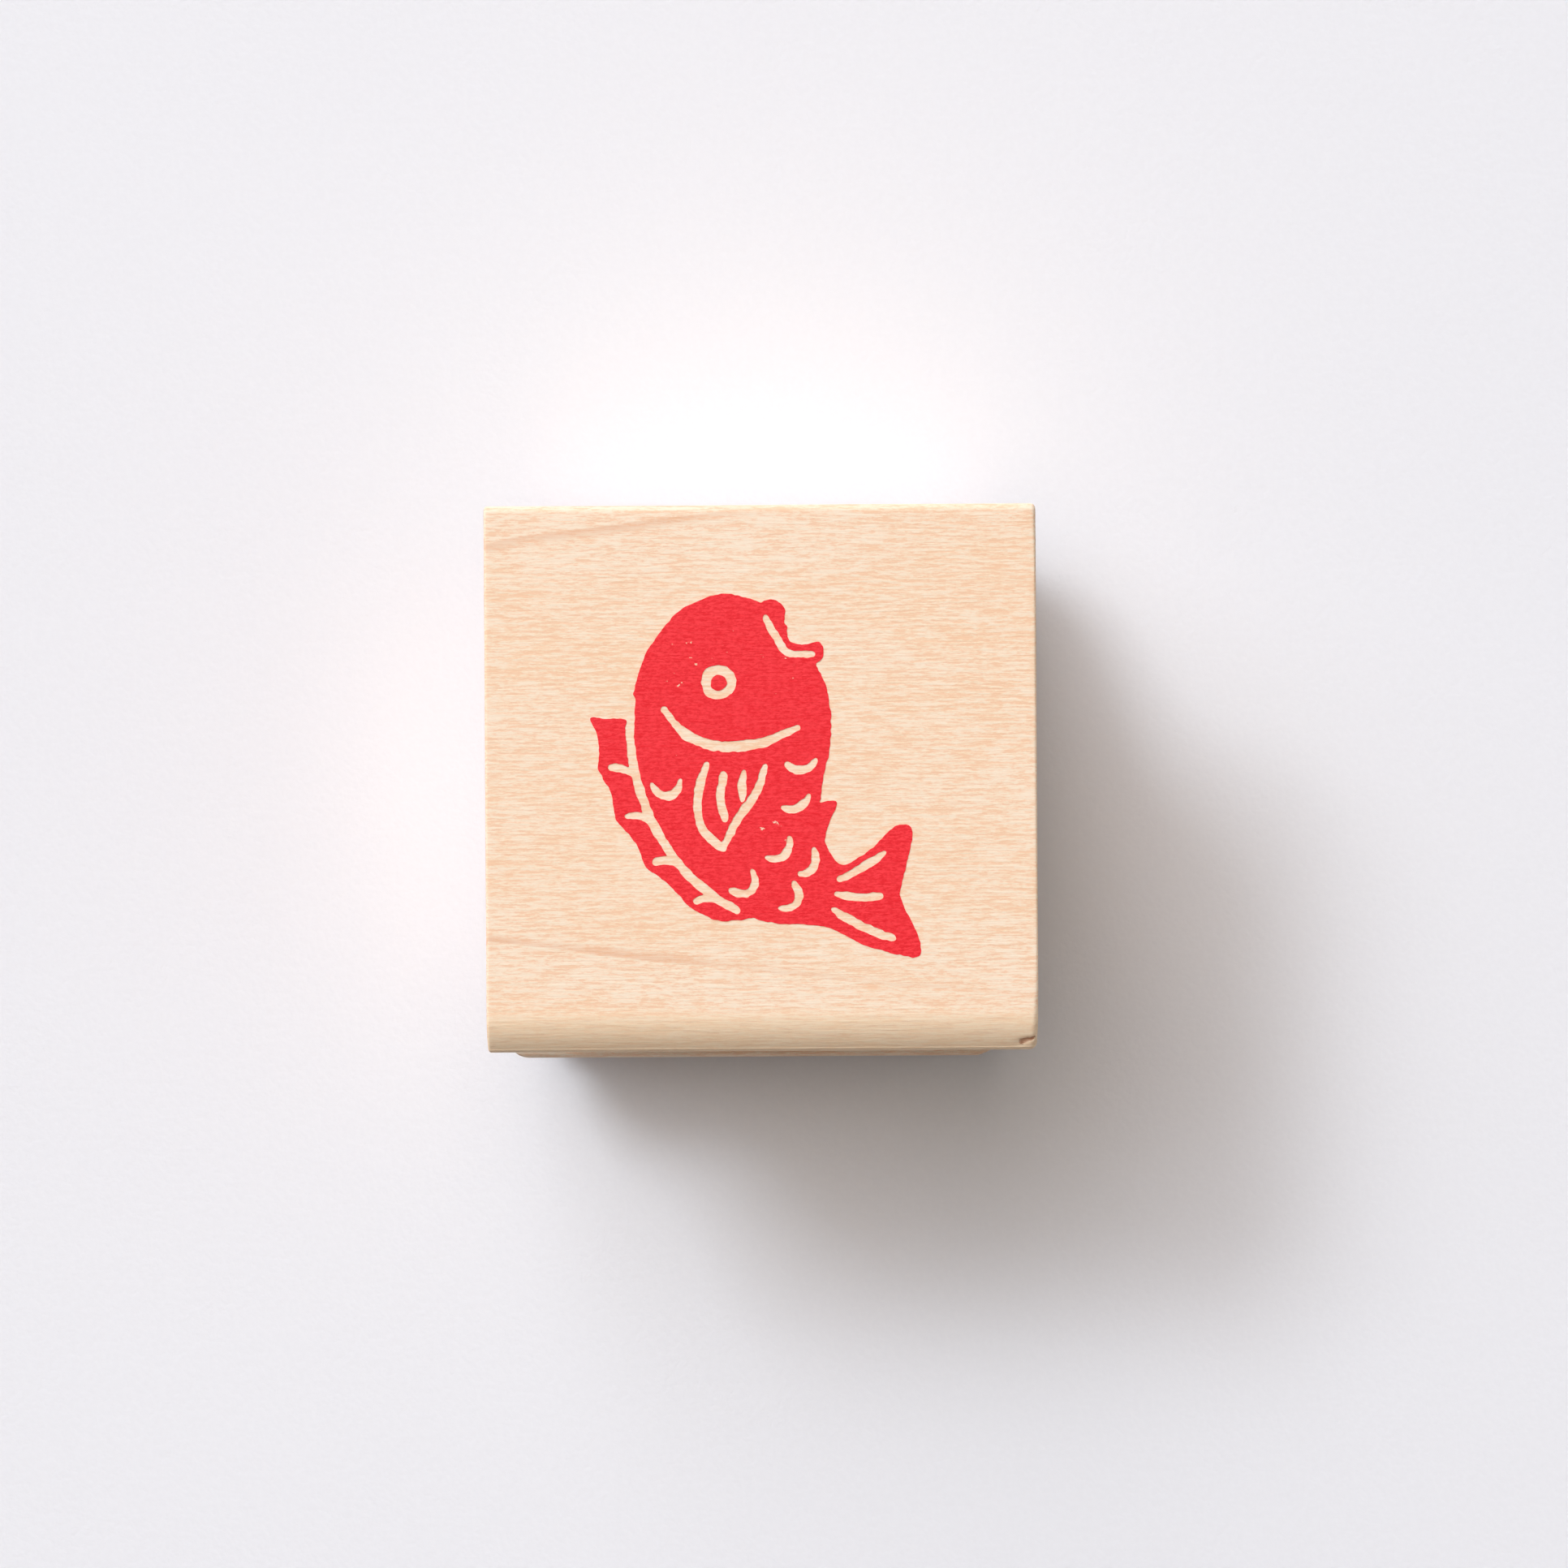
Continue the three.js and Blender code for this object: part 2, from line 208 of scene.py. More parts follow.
def arc(centre, radius, start, end, count):
    """Points of an arc and normals out of the material, which lies inside the circle for a positive
    radius and outside it for a negative one."""
    angles = np.linspace(start, end, count)
    outward = np.stack([np.cos(angles), np.sin(angles)], axis=1)
    return np.array(centre) + abs(radius) * outward, outward * np.sign(radius)


def straight(start, end, count):
    """Points between two heights up a face that looks outward, both ends left out, and normals."""
    z = np.linspace(start[1], end[1], count + 2)[1:-1]
    return np.stack([np.full(count, start[0]), z], axis=1), np.tile([1.0, 0.0], (count, 1))


def eased_edge(sizes, crown, height, start):
    """The front edge of the top, from the side's height start: a flat side, a tight corner, and a
    wide shallow curve whose circle the corner's circle touches from inside."""
    reach = sizes.ease_round - sizes.ease_corner
    turn = math.pi / 2 - sizes.ease_turn
    corner = (crown - sizes.ease_corner, height - sizes.ease_round + reach * math.sin(turn))
    shallow = (corner[0] - reach * math.cos(turn), height - sizes.ease_round)
    return [
        straight((crown, start), (crown, corner[1]), 8),
        arc(corner, sizes.ease_corner, 0, turn, 12),
        arc(shallow, sizes.ease_round, turn, math.pi / 2, 25),
    ]


def back_edge(sizes, crown, height, start):
    """The back edge of the top, barely rounded, with as many points as the front one."""
    corner = (crown - sizes.back_round, height - sizes.back_round)
    return [
        straight((crown, start), (crown, corner[1]), 24),
        arc(corner, sizes.back_round, 0, math.pi / 2, 21),
    ]


def half_section(sizes, top_edge):
    """One half of the moulding's section, as if on the right: (y, z) points and outward normals,
    from the underside up. top_edge works out the crown's edge.

    Arcs that touch: the foot's bottom edge, its shoulder, the groove (material outside its circle)
    and the nose. Each circle's centre lies where the sum of two radii reaches the next one's.
    """
    height = BLOCK_HIGH[2] - BLOCK_LOW[2]
    foot = BLOCK_HIGH[1]
    crown = sizes.crown_width / 2
    groove_y = crown - sizes.groove_depth + sizes.groove_radius

    nose_y = crown - sizes.nose_round
    nose_z = height - sizes.nose_drop
    nose_rise = math.sqrt((sizes.groove_radius + sizes.nose_round) ** 2 - (groove_y - nose_y) ** 2)
    nose_turn = math.atan2(-nose_rise, groove_y - nose_y)

    groove_z = nose_z - nose_rise
    shoulder_y = foot - sizes.shoulder_round
    shoulder_reach = sizes.groove_radius + sizes.shoulder_round
    shoulder_drop = math.sqrt(shoulder_reach**2 - (groove_y - shoulder_y) ** 2)
    shoulder_turn = math.atan2(shoulder_drop, groove_y - shoulder_y)
    groove_turns = (math.pi + shoulder_turn, math.pi + nose_turn)

    bottom = (foot - sizes.foot_round, sizes.foot_round)
    shoulder = (shoulder_y, groove_z - shoulder_drop)
    groove, groove_normals = arc((groove_y, groove_z), -sizes.groove_radius, *groove_turns, 48)
    runs = [
        arc(bottom, sizes.foot_round, -math.pi / 2, 0, 5),
        straight((foot, sizes.foot_round), (foot, shoulder[1]), 12),
        arc(shoulder, sizes.shoulder_round, 0, shoulder_turn, 8),
        (groove[1:-1], groove_normals[1:-1]),
        arc((nose_y, nose_z), sizes.nose_round, nose_turn, 0, 12),
        *top_edge(sizes, crown, height, nose_z),
    ]
    points = np.concatenate([run[0] for run in runs])
    normals = np.concatenate([run[1] for run in runs])
    return points + [0, BLOCK_LOW[2]], normals


def closed_section(back, back_normals, front, front_normals, columns):
    """The whole ring of a section: underside front to back, up the back half, top back to front, and
    down the front half.

    Returns points, normals and the four index runs of the ring (underside, back, top, front), each
    from the section's low or front corner to the other one.
    """
    mirror = np.array([-1.0, 1.0])
    across = np.linspace(0, 1, columns + 1)[1:-1, None]
    low_front, high_front = front[0] * mirror, front[-1] * mirror
    bottom = low_front + across * (back[0] - low_front)
    top = back[-1] + across * (high_front - back[-1])
    ring = np.concatenate([bottom, back, top, (front * mirror)[::-1]])
    down = np.tile([0.0, -1.0], (columns - 1, 1))
    ring_normals = np.concatenate([down, back_normals, -down, (front_normals * mirror)[::-1]])
    rows = len(back)
    back_run = columns - 1 + np.arange(rows)
    front_run = len(ring) - 1 - np.arange(rows)
    top_run = (columns - 1 + rows + np.arange(columns - 1))[::-1]
    low = np.concatenate([[front_run[0]], np.arange(columns - 1), [back_run[0]]])
    high = np.concatenate([[front_run[-1]], top_run, [back_run[-1]]])
    return ring, ring_normals, (low, back_run, high, front_run)


def block_stations():
    """Places along the moulding: close together at both ends, where the edges are worn."""
    steps = [0, 0.012, 0.03, 0.06, 0.1, 0.15, 0.21, 0.28, 0.38, 0.5, 0.66, 0.84, 1.05, 1.3, 1.6]
    near = np.array(steps) * MM
    half = BLOCK_HIGH[0]
    middle = np.linspace(-half + 1.85 * MM, half - 1.85 * MM, 112)
    return np.concatenate([-half + near, middle, (half - near)[::-1]])


def worn_edges(x, ring, sizes):
    """How far each point of each station is worn in along its normal.

    A quarter circle of radius r turns the edge of each sawn end: inset = r - sqrt(r^2 - t^2), where
    t is how far the station is past the start of the circle. r is larger at the crown's right
    corners, the front one most.
    """
    y, z = ring[:, 0], ring[:, 1]
    on_crown = smoothstep(z - BLOCK_LOW[2], 13 * MM, 15.5 * MM)
    corner = smoothstep(-y, 12 * MM, 17 * MM) + 0.4 * smoothstep(y, 14 * MM, 17 * MM)
    left = np.full(len(ring), sizes.end_wear)
    right = sizes.end_wear + on_crown * corner * sizes.corner_wear
    radius = np.where(x[:, None] < 0, left[None], right[None])
    past = np.clip(np.abs(x)[:, None] - (BLOCK_HIGH[0] - radius), 0, radius)
    return radius - np.sqrt(np.maximum(radius**2 - past**2, 0))


def trimmed_foot(x, yz, sizes):
    """Takes the foot's upright corners off: no point below the grooves stands out beyond a limit.

    Three corners are rounded, as a quarter circle in plan, and the front right one is cut straight.
    The underside is drawn in by the same share, so its columns stay apart.
    """
    radius = sizes.foot_wear
    past = np.clip(np.abs(x) - (BLOCK_HIGH[0] - radius), 0, radius)
    rounded = radius - np.sqrt(np.maximum(radius**2 - past**2, 0))
    cut = np.clip((x - sizes.foot_cut) * 0.55, 0, 1.5 * MM)
    rise = yz[..., 1] - BLOCK_LOW[2]
    low = rise < 9 * MM
    for sign, taken in ((1, rounded), (-1, np.where(x > 0, cut, rounded))):
        limit = (BLOCK_HIGH[1] - taken)[:, None]
        y = yz[..., 0] * sign
        under = low & (rise < 0.01 * MM) & (y > 0)
        drawn_in = y * np.minimum(1, limit / (BLOCK_HIGH[1] - sizes.foot_round))
        y = np.where(under, drawn_in, np.where(low, np.minimum(y, limit), y))
        yz[..., 0] = y * sign
    return yz


def chip_mask(x, y, z, sizes):
    """A splinter torn from the crown's front right corner: blunt and wide at its left end, it narrows
    and drifts back to the right. 1 along its middle line and 0 outside it."""
    along = np.clip((x - sizes.chip_start) / sizes.chip_length, 0, 1)
    ends = np.clip(along / 0.1, 0, 1) ** 0.5 * np.clip((1 - along) / 0.15, 0, 1)
    width = sizes.chip_width * (1 - 0.72 * along) * ends + 1e-9
    waver = 0.03 * MM * np.sin(x / (0.11 * MM))
    middle = sizes.chip_inset - sizes.crown_width / 2 + 0.36 * MM * along**1.5 + waver
    across = np.abs(y - middle) / width
    return np.clip(1 - across**2, 0, 1) * (along > 0) * (z > BLOCK_LOW[2] + 10 * MM)


def build_handle_block(sizes):
    """The moulding as one closed surface: a ring of the section carried along X, worn and slightly
    uneven, and a grid over each sawn end whose rows join the two sides of the section."""
    columns = 62
    back = half_section(sizes, back_edge)
    front = half_section(sizes, eased_edge)
    ring, normals, (low, back_run, high, front_run) = closed_section(*back, *front, columns)
    x = block_stations()

    inset = worn_edges(x, ring, sizes)
    where = np.stack(np.broadcast_arrays(x[:, None] * 0.25, ring[None, :, 0], ring[None, :, 1]), axis=-1)
    rounded = np.abs(normals[:, 0]) * smoothstep(ring[:, 1], BLOCK_LOW[2] + 1 * MM, BLOCK_LOW[2] + 5 * MM)
    inset = inset + rounded * 0.035 * MM * (1 + waves(where, 5 * MM, 11)) / 2
    chip = chip_mask(x[:, None], ring[None, :, 0], ring[None, :, 1], sizes)
    inset = inset + sizes.chip_depth * np.sqrt(chip)

    yz = trimmed_foot(x, ring[None] - normals[None] * inset[..., None], sizes)
    points = np.concatenate([np.broadcast_to(x[:, None, None], (*yz.shape[:2], 1)), yz], axis=-1)

    stations, around = points.shape[:2]
    index = np.arange(stations * around).reshape(stations, around)
    pieces = [points.reshape(-1, 3)]
    faces = [walls(index[:-1], index[1:])]
    total = stations * around
    share = np.linspace(0, 1, columns + 1)[None, 1:-1, None]
    for station, turned in ((0, True), (stations - 1, False)):
        grid = np.empty((len(back_run), columns + 1), dtype=int)
        grid[0], grid[-1] = index[station, low], index[station, high]
        grid[:, 0], grid[:, -1] = index[station, front_run], index[station, back_run]
        front_side, back_side = points[station, front_run[1:-1]], points[station, back_run[1:-1]]
        inner = front_side[:, None] * (1 - share) + back_side[:, None] * share
        grid[1:-1, 1:-1] = total + np.arange(inner.shape[0] * inner.shape[1]).reshape(inner.shape[:2])
        total += inner.shape[0] * inner.shape[1]
        pieces.append(inner.reshape(-1, 3))
        corners = [grid[:-1, :-1], grid[:-1, 1:], grid[1:, 1:], grid[1:, :-1]]
        quads = np.stack(corners, axis=-1).reshape(-1, 4)
        faces.append(quads[:, ::-1] if turned else quads)

    block = mesh_object("handle_block_maple", np.concatenate(pieces), np.concatenate(faces).tolist())
    chips = np.zeros(total)
    chips[: stations * around] = chip.ravel()
    point_attribute(block, "chip", chips)
    return block


# ---------- the fish's outline


def outline_loops(name):
    """The closed outlines of a flat frame node's top face, each an (n, 2) array with the material
    on its left: the edges that only one triangle of the top face uses, joined end to end."""
    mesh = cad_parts[name].data
    points = np.empty(len(mesh.vertices) * 3, dtype=np.float32)
    mesh.vertices.foreach_get("co", points)
    points = points.reshape(-1, 3).astype(float)
    mesh.calc_loop_triangles()
    triangles = np.empty(len(mesh.loop_triangles) * 3, dtype=np.int32)
    mesh.loop_triangles.foreach_get("vertices", triangles)
    triangles = triangles.reshape(-1, 3)
    top = np.all(points[triangles][..., 2] > points[:, 2].max() - 0.005 * MM, axis=1)
    rounded = np.round(points[:, :2] / (0.001 * MM)).astype(int)
    places, merged = np.unique(rounded, axis=0, return_inverse=True)
    corners = merged.ravel()[triangles[top]]
    edges = np.concatenate([corners[:, [0, 1]], corners[:, [1, 2]], corners[:, [2, 0]]])
    used = {tuple(edge) for edge in edges.tolist()}
    following = {a: b for a, b in used if (b, a) not in used}
    loops = []
    while following:
        start, at = next(iter(following.items()))
        del following[start]
        loop = [start]
        while at != start:
            loop.append(at)
            at = following.pop(at)
        loops.append(places[loop] * 0.001 * MM)
    return sorted(loops, key=lambda loop: -len(loop))


def filtered(values, sigma):
    """A closed run of values smoothed by a Gaussian of this many samples, wrapped round."""
    frequency = np.fft.rfftfreq(len(values))
    kernel = np.exp(-2 * (math.pi * frequency * sigma) ** 2)
    kernel = kernel.reshape(-1, *[1] * (values.ndim - 1))
    return np.fft.irfft(np.fft.rfft(values, axis=0) * kernel, len(values), axis=0)


def loop_normals(loop):
    """Unit normals of a closed loop that point away from the material on its left."""
    tangent = np.roll(loop, -1, axis=0) - np.roll(loop, 1, axis=0)
    tangent /= np.maximum(np.linalg.norm(tangent, axis=1, keepdims=True), 1e-12)
    return np.stack([tangent[:, 1], -tangent[:, 0]], axis=1)


def ragged(loop, step, rag, seed):
    """A loop drawn again at even steps, its corners softened, and its edge wandering by seeded
    noise of two lengths along its normal."""
    closed = np.vstack([loop, loop[:1]])
    along = np.concatenate([[0], np.cumsum(np.linalg.norm(np.diff(closed, axis=0), axis=1))])
    count = max(24, int(round(along[-1] / step)))
    at = np.arange(count) * along[-1] / count
    even = np.stack([np.interp(at, along, closed[:, axis]) for axis in (0, 1)], axis=1)
    even = filtered(even, 0.11 * MM / step)
    random = np.random.default_rng(seed)
    fine = filtered(random.normal(size=count), 0.10 * MM / step)
    broad = filtered(random.normal(size=count), 0.35 * MM / step)
    wander = 0.6 * fine / max(fine.std(), 1e-9) + 0.8 * broad / max(broad.std(), 1e-9)
    return even + loop_normals(even) * (rag * np.clip(wander, -2, 2))[:, None]


def fish_loops(sizes):
    """The outlines of the printed fish: its outer edge first, then its cuts, then the pupil."""
    loops = outline_loops("index_print_fish") + outline_loops("index_print_pupil")
    return [ragged(loop, sizes.outline_step, sizes.ink_rag, 40 + n) for n, loop in enumerate(loops)]


def fill(loops, numbers, up):
    """Triangles over the area between flat loops, facing up or down, from each loop's point numbers."""
    flat = [[Vector((*point, 0.0)) for point in loop.tolist()] for loop in loops]
    points = np.concatenate(loops)
    triangles = np.array(tessellate_polygon(flat), dtype=int)
    a, b, c = points[triangles[:, 0]], points[triangles[:, 1]], points[triangles[:, 2]]
    area = (b[:, 0] - a[:, 0]) * (c[:, 1] - a[:, 1]) - (b[:, 1] - a[:, 1]) * (c[:, 0] - a[:, 0])
    turned = (area > 0) != up
    triangles[turned] = triangles[turned][:, ::-1]
    return np.concatenate(numbers)[triangles]


def build_index_print(sizes):
    """The ink as a thin closed film: the fish's outlines filled below and above, with upright walls."""
    loops = fish_loops(sizes)
    low = PRINT_LOW[2] - 0.01 * MM
    high = PRINT_LOW[2] + 0.6 * (PRINT_HIGH[2] - PRINT_LOW[2])
    flat = np.concatenate(loops)
    total = len(flat)
    numbers = np.split(np.arange(total), np.cumsum([len(loop) for loop in loops])[:-1])
    points = np.concatenate([np.column_stack([flat, np.full(total, z)]) for z in (low, high)])
    faces = []
    for group in (range(len(loops) - 1), [len(loops) - 1]):
        outlines = [loops[i] for i in group]
        bottom = [numbers[i] for i in group]
        faces += fill(outlines, bottom, False).tolist()
        faces += (fill(outlines, bottom, True) + total).tolist()
        faces += np.concatenate([walls(numbers[i], numbers[i] + total) for i in group]).tolist()
    return mesh_object("index_print_ink", points, faces, smooth=False)


# ---------- the rubber die


def rounded_rectangle(half_x, half_y, radius, step):
    """A closed anticlockwise loop of even steps round a rectangle whose corners are quarter circles."""
    angles = np.linspace(0, math.pi / 2, 16)
    corners = []
    for quarter, (x, y) in enumerate([(1, 1), (-1, 1), (-1, -1), (1, -1)]):
        turn = angles + quarter * math.pi / 2
        centre = np.array([x * (half_x - radius), y * (half_y - radius)])
        corners.append(centre + radius * np.stack([np.cos(turn), np.sin(turn)], axis=1))
    closed = np.vstack([*corners, corners[0][:1]])
    along = np.concatenate([[0], np.cumsum(np.linalg.norm(np.diff(closed, axis=0), axis=1))])
    at = np.arange(0, along[-1] - step / 2, step)
    return np.stack([np.interp(at, along, closed[:, axis]) for axis in (0, 1)], axis=1)


def build_rubber_die(sizes):
    """The die as one closed skin: printing face, sloped relief walls, the floor of the engraving,
    the sheet's trimmed sides and its top.

    Each outline of the fish is repeated at falling depths and moved out along its normal: a worn
    edge, a steep wall and a fillet where it meets the floor.
    """
    sheet_low = DIE_LOW[2] + 1.0 * MM
    fish = fish_loops(sizes)
    slope = sizes.relief_slope
    levels = [(0, -0.05 * MM), (0.015 * MM, -0.015 * MM), (0.06 * MM, 0), (0.5 * MM, 0.3 * slope)]
    levels += [(0.82 * MM, 0.55 * slope), (0.94 * MM, 0.8 * slope), (1.0 * MM, slope)]

    half = (DIE_HIGH - DIE_LOW)[:2] / 2
    sheet = rounded_rectangle(half[0], half[1], 1.2 * MM, 0.25 * MM)
    sheet_normals = loop_normals(sheet)
    trim = 0.05 * MM * (1 + waves(sheet, 6 * MM, 5))
    sides = [(sheet_low, 0.12 * MM), (sheet_low + 0.05 * MM, 0.03 * MM), (sheet_low + 0.12 * MM, 0)]
    sides += [(DIE_HIGH[2] - 0.4 * MM, 0.02 * MM), (DIE_HIGH[2], 0.05 * MM)]

    points, faces, total = [], [], 0

    def stack(rungs, heights):
        """Adds rungs at their heights with walls between them, and gives their point numbers."""
        nonlocal total
        numbers = []
        for rung, z in zip(rungs, heights):
            points.append(np.column_stack([rung, np.full(len(rung), z)]))
            numbers.append(np.arange(total, total + len(rung)))
            total += len(rung)
        for lower, upper in zip(numbers, numbers[1:]):
            faces.extend(walls(lower, upper).tolist())
        return numbers

    relief = [[loop + loop_normals(loop) * offset for _, offset in levels] for loop in fish]
    heights = [DIE_LOW[2] + depth for depth, _ in levels]
    relief_numbers = [stack(rungs, heights) for rungs in relief]
    trimmed = [sheet - sheet_normals * (trim + inset)[:, None] for _, inset in sides]
    sheet_numbers = stack(trimmed, [z for z, _ in sides])

    outer, *cuts, pupil = range(len(fish))
    eye = min(cuts, key=lambda i: np.linalg.norm(fish[i].mean(axis=0) - fish[pupil].mean(axis=0)))
    for group in ((outer, *cuts), (pupil,)):
        printing = [relief[i][0] for i in group]
        faces += fill(printing, [relief_numbers[i][0] for i in group], False).tolist()
    floor_numbers = [sheet_numbers[0], relief_numbers[outer][-1]]
    faces += fill([trimmed[0], relief[outer][-1]], floor_numbers, False).tolist()
    for cut in cuts:
        group = (cut, pupil) if cut == eye else (cut,)
        floor = [relief[i][-1] for i in group]
        faces += fill(floor, [relief_numbers[i][-1] for i in group], False).tolist()
    faces += fill([trimmed[-1]], [sheet_numbers[-1]], True).tolist()
    return mesh_object("rubber_die_engraved", np.concatenate(points), faces, smooth=False)


# ---------- the foam cushion


def build_cushion(sizes):
    """The cushion as a rounded rectangle carried up its height, with its cut sides drawn in a little
    between the two glued faces and pitted by open cells, and flat faces closed to their middles.

    A pit is a bowl: depth * (1 - (distance / radius)^2), and the deepest bowl at a point counts.
    """
    step = 0.13 * MM
    half = (CUSHION_HIGH - CUSHION_LOW)[:2] / 2
    height = CUSHION_HIGH[2] - CUSHION_LOW[2]
    rim = rounded_rectangle(half[0], half[1], 1.5 * MM, step)
    outward = loop_normals(rim)
    rise = np.linspace(0, 1, 25)
    around = np.arange(len(rim)) * step

    random = np.random.default_rng(21)
    centre_around = random.uniform(0, around[-1], sizes.pores)
    centre_rise = random.uniform(0.02, 0.98, sizes.pores) * height
    radius = random.uniform(0.10, 0.30, sizes.pores) * MM
    depth = radius * random.uniform(0.3, 1.0, sizes.pores) * sizes.pore_depth / (0.2 * MM)
    pit = np.zeros((len(rise), len(rim)))
    for near, up, size, deep in zip(centre_around, centre_rise, radius, depth):
        span = slice(max(0, int((near - size) / step)), int((near + size) / step) + 2)
        distance = (around[span][None] - near) ** 2 + (rise[:, None] * height - up) ** 2
        pit[:, span] = np.maximum(pit[:, span], deep * np.clip(1 - distance / size**2, 0, None))

    drawn_in = 0.14 * MM * 4 * rise * (1 - rise) + 0.02 * MM
    slack = 0.03 * MM * (1 + waves(rim, 9 * MM, 3))
    inset = drawn_in[:, None] + slack[None] + pit
    xy = rim[None] - outward[None] * inset[..., None]
    z = np.broadcast_to((CUSHION_LOW[2] + rise * height)[:, None, None], (*xy.shape[:2], 1))
    side = np.concatenate([xy, z], axis=-1)

    shares = np.array([0.94, 0.75, 0.45, 0.15])
    flat = np.array([1.0, 1.0, 0.0])
    low_rings = side[0][None] * (flat * shares[:, None, None]) + [0, 0, CUSHION_LOW[2]]
    high_rings = side[-1][None] * (flat * shares[:, None, None]) + [0, 0, CUSHION_HIGH[2]]
    rings = np.concatenate([low_rings[::-1], side, high_rings])
    count, size = rings.shape[:2]
    index = np.arange(count * size).reshape(count, size)
    following = np.roll(index, -1, axis=1)
    poles = np.array([[0, 0, CUSHION_LOW[2]], [0, 0, CUSHION_HIGH[2]]])
    bottom = np.column_stack([following[0], index[0], np.full(size, count * size)])
    top = np.column_stack([index[-1], following[-1], np.full(size, count * size + 1)])
    faces = walls(index[:-1], index[1:]).tolist() + bottom.tolist() + top.tolist()
    return mesh_object("cushion_foam_sheet", np.concatenate([rings.reshape(-1, 3), poles]), faces)


# ---------- node helpers


class Tree:
    """Short calls for the nodes that the materials here are made of."""

    def __init__(self, nodes, links):
        self.nodes = nodes
        self.links = links

    def put(self, kind, settings=None, **inputs):
        node = self.nodes.new(kind)
        for name, value in (settings or {}).items():
            setattr(node, name, value)
        for name, value in inputs.items():
            self.feed(node.inputs[name.replace("_", " ")], value)
        return node

    def feed(self, socket, value):
        if isinstance(value, bpy.types.NodeSocket):
            self.links.new(value, socket)
        else:
            socket.default_value = value

    def math(self, operation, *values):
        node = self.put("ShaderNodeMath", {"operation": operation})
        for socket, value in zip(node.inputs, values):
            self.feed(socket, value)
        return node.outputs[0]

    def mix(self, share, first, second):
        node = self.put("ShaderNodeMix", {"data_type": "RGBA"})
        for socket, value in ((node.inputs[0], share), (node.inputs[6], first), (node.inputs[7], second)):
            self.feed(socket, value)
        return node.outputs[2]

    def noise(self, vector, scale, detail=2.0, roughness=0.5):
        """Noise whose cells are 1 / scale metres along each axis."""
        place = self.put("ShaderNodeMapping", Vector=vector, Scale=scale).outputs[0]
        settings = dict(Vector=place, Scale=1.0, Detail=detail, Roughness=roughness, Distortion=0.0)
        return self.put("ShaderNodeTexNoise", **settings).outputs["Fac"]

    def between(self, value, low, high, to_low=0.0, to_high=1.0):
        """value carried smoothly from low..high to to_low..to_high, and held at both ends."""
        node = self.put("ShaderNodeMapRange", {"interpolation_type": "SMOOTHSTEP", "clamp": True})
        for name, number in zip(("Value", "From Min", "From Max"), (value, low, high)):
            self.feed(node.inputs[name], number)
        for name, number in zip(("To Min", "To Max"), (to_low, to_high)):
            self.feed(node.inputs[name], number)
        return node.outputs[0]

    def bump(self, height, distance):
        return self.put("ShaderNodeBump", Height=height, Distance=distance, Strength=1.0).outputs[0]


def new_group(name, inputs, outputs):
    """A shader node group with float and vector sockets, and a Tree to fill it."""
    group = bpy.data.node_groups.new(name, "ShaderNodeTree")
    for socket, kind in inputs.items():
        group.interface.new_socket(socket, in_out="INPUT", socket_type=kind)
    for socket in outputs:
        group.interface.new_socket(socket, in_out="OUTPUT", socket_type="NodeSocketFloat")
    tree = Tree(group.nodes, group.links)
    return group, tree, tree.put("NodeGroupInput"), tree.put("NodeGroupOutput")


def new_material(name):
    """An empty material, its Tree, its Principled shader and its Object coordinates."""
    material = bpy.data.materials.new(name)
    material.use_nodes = True
    material.node_tree.nodes.clear()
    tree = Tree(material.node_tree.nodes, material.node_tree.links)
    shader = tree.put("ShaderNodeBsdfPrincipled")
    output = tree.put("ShaderNodeOutputMaterial")
    tree.feed(output.inputs["Surface"], shader.outputs[0])
    return material, tree, shader, tree.put("ShaderNodeTexCoord").outputs["Object"]


def use_group(tree, name, **inputs):
    """A node group placed in a material, with its outputs by name."""
    node = tree.put("ShaderNodeGroup")
    node.node_tree = bpy.data.node_groups[name]
    for socket, value in inputs.items():
        tree.feed(node.inputs[socket.replace("_", " ")], value)
    return node.outputs


def opaque(colour_property, brightness=1.0):
    """A colour with its alpha, times a brightness."""
    return (*[channel * brightness for channel in colour_property], 1.0)


def toned(tree, share, colour_property, brightness):
    """A colour that turns to itself times a brightness as share goes to 1."""
    return tree.mix(share, opaque(colour_property), opaque(colour_property, brightness))


# ---------- shared effects


